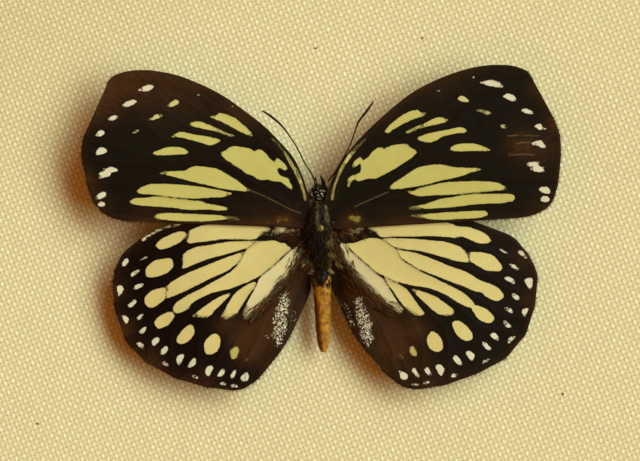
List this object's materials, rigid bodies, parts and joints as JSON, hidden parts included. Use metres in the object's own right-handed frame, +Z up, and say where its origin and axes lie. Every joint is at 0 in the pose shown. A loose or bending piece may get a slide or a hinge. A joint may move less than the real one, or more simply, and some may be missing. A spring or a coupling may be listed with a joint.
{
  "type": "pinned butterfly specimen on a canvas-covered board",
  "caption": "Spread dark butterfly with cream bands and white spots, held by a brass pin above a board covered with cream plain-weave canvas.",
  "frame": {"origin": "under the middle of the board, on the surface that the board lies on", "axes": "+X across the wings towards the right wings as seen from above, +Y towards the head, +Z up from the board"},
  "size_m": [0.148, 0.105, 0.0262],
  "materials": {
    "cork": "matte",
    "canvas": "plain weave",
    "pin_brass": "dull",
    "dark_body": "hairy",
    "ochre_body": "dry, wrinkled",
    "horn": "satin",
    "wing": "scaled"
  },
  "bodies": {
    "root": {"mount_board": "cork", "canvas_cover": "canvas", "pin": "pin_brass", "thorax": "dark_body", "head": "dark_body", "abdomen": "ochre_body", "antenna_left": "horn", "antenna_right": "horn", "forewing_left": "wing", "forewing_right": "wing", "hindwing_left": "wing", "hindwing_right": "wing", "leg_fore_left": "horn", "leg_fore_right": "horn", "leg_mid_left": "horn", "leg_mid_right": "horn", "leg_hind_left": "horn", "leg_hind_right": "horn"}
  },
  "joints": []
}
